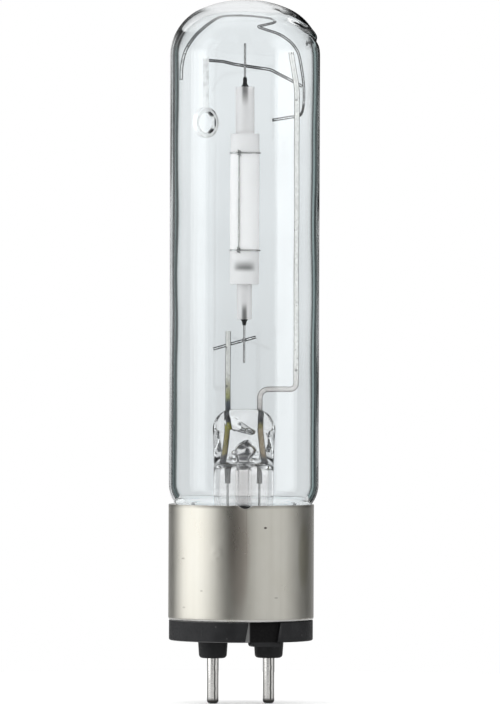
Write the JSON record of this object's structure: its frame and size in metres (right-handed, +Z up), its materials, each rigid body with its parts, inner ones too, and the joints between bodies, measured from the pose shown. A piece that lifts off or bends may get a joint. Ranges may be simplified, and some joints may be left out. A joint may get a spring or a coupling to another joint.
{
  "type": "high pressure sodium lamp",
  "caption": "Tubular discharge lamp: a clear domed glass bulb with a translucent arc tube on a wire frame, in a plated shell on a black keyed base with contact pins.",
  "frame": {"origin": "middle of the base plate's underside, between the contact pins", "axes": "+Z up the lamp from the base to the dome, X through both contact pins"},
  "size_m": [0.0318, 0.0318, 0.149],
  "materials": {
    "black_moulding": "satin, slightly worn",
    "plated_shell": "satin nickel plate",
    "plated_pin": "bright nickel plate",
    "solder": "dull, dark",
    "cement": "matte",
    "clear_glass": "clear, slightly blue-green in its thickness",
    "stem_glass": "clear, with drawn streaks",
    "lead_rod": "drawn wire, oxidised at the seal",
    "frame_wire": "drawn wire",
    "niobium": "satin",
    "tungsten": "dull",
    "alumina": "translucent",
    "frit": "glassy",
    "amalgam": "dull metal",
    "getter_steel": "bright strip",
    "getter_powder": "pressed powder"
  },
  "bodies": {
    "root": {"base_plate": "black_moulding", "base_shell": "plated_shell", "contact_pin_left": "plated_pin", "contact_pin_right": "plated_pin", "tip_solder_left": "solder", "tip_solder_right": "solder", "capping_cement": "cement", "outer_bulb": "clear_glass", "stem": "stem_glass", "exhaust_tube": "stem_glass", "support_post": "lead_rod", "frame_rod": "lead_rod", "outer_lead_left": "frame_wire", "outer_lead_right": "frame_wire", "lower_crossbar": "frame_wire", "upper_crossbar": "frame_wire", "dome_spring": "frame_wire", "getter_ring": "getter_steel", "getter_fill": "getter_powder", "getter_strap": "getter_steel", "arc_tube_body": "alumina", "upper_end_plug": "alumina", "lower_end_plug": "alumina", "upper_feedthrough": "niobium", "lower_feedthrough": "niobium", "upper_frit_seal": "frit", "lower_frit_seal": "frit", "upper_electrode": "tungsten", "lower_electrode": "tungsten", "upper_electrode_coil": "tungsten", "lower_electrode_coil": "tungsten", "amalgam_pool": "amalgam", "ignition_antenna": "frame_wire"}
  },
  "joints": []
}
